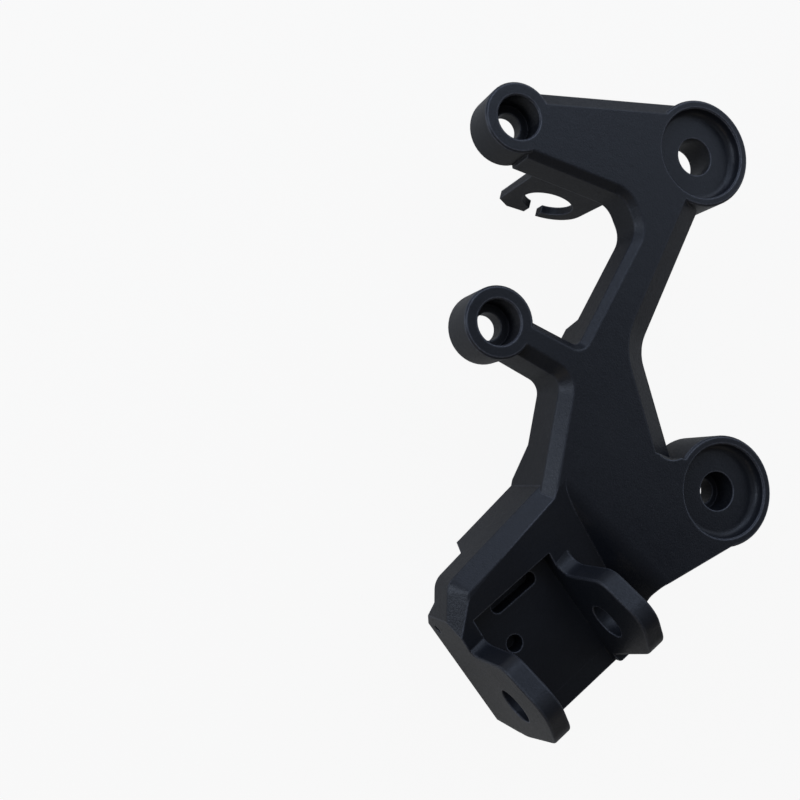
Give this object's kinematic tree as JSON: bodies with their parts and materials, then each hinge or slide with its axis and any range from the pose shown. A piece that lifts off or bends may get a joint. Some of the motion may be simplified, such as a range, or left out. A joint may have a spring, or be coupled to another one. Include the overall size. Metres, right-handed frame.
{
  "type": "motorcycle footrest hanger",
  "caption": "Cast aluminium footrest hanger plate for a motorcycle: bossed arms bolt to the frame, a clevis takes the folding footrest and an open ring holds a hose.",
  "frame": {"origin": "on the bore axis of the upper small boss, in the plane where its screw head seats", "axes": "+Z is the outward normal of the plate's front face, +X runs from the upper small boss to the upper large boss"},
  "size_m": [0.1077, 0.2, 0.0662],
  "materials": {
    "casting": "satin"
  },
  "bodies": {
    "root": {"hanger": "casting"}
  },
  "joints": []
}
